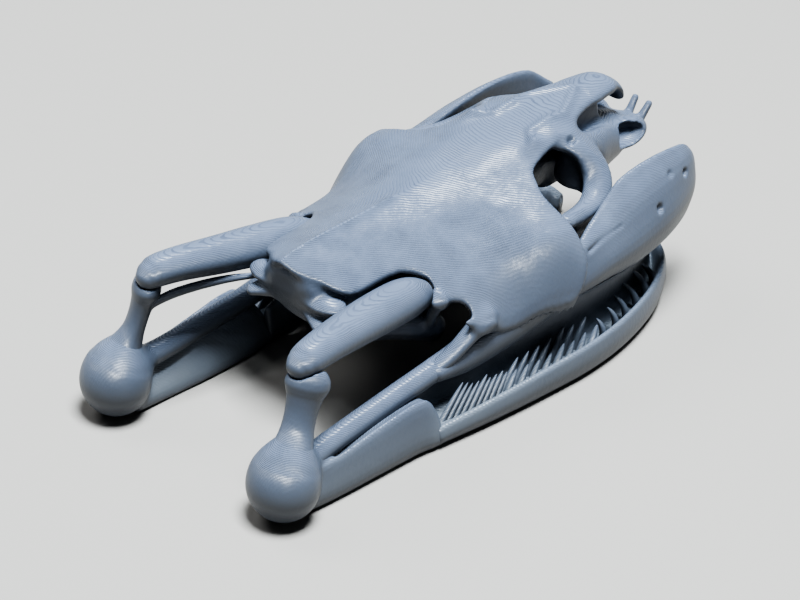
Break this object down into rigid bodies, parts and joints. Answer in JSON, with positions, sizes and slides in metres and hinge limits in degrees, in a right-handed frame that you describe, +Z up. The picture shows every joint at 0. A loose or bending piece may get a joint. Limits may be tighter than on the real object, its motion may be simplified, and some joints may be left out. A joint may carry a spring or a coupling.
{
  "type": "snake skull",
  "caption": "Life-size anaconda skull lying on its lower jaws, mouth a little open, teeth in every jaw.",
  "frame": {"origin": "centre of the surface that the skull rests on, in the middle of the bounding box in plan", "axes": "+Z up, -Y towards the snout, +X towards the animal's left"},
  "size_m": [0.0462, 0.0962, 0.0294],
  "materials": {
    "bone": "matte blue-grey with fine printed layers"
  },
  "bodies": {
    "root": {"cranium": "bone", "supratemporal_left": "bone", "supratemporal_right": "bone", "quadrate_left": "bone", "quadrate_right": "bone", "stapes_left": "bone", "stapes_right": "bone", "pterygoid_left": "bone", "pterygoid_right": "bone", "ectopterygoid_left": "bone", "ectopterygoid_right": "bone", "maxilla_left": "bone", "maxilla_right": "bone", "compound_left": "bone", "compound_right": "bone", "dentary_left": "bone", "dentary_right": "bone"}
  },
  "joints": []
}
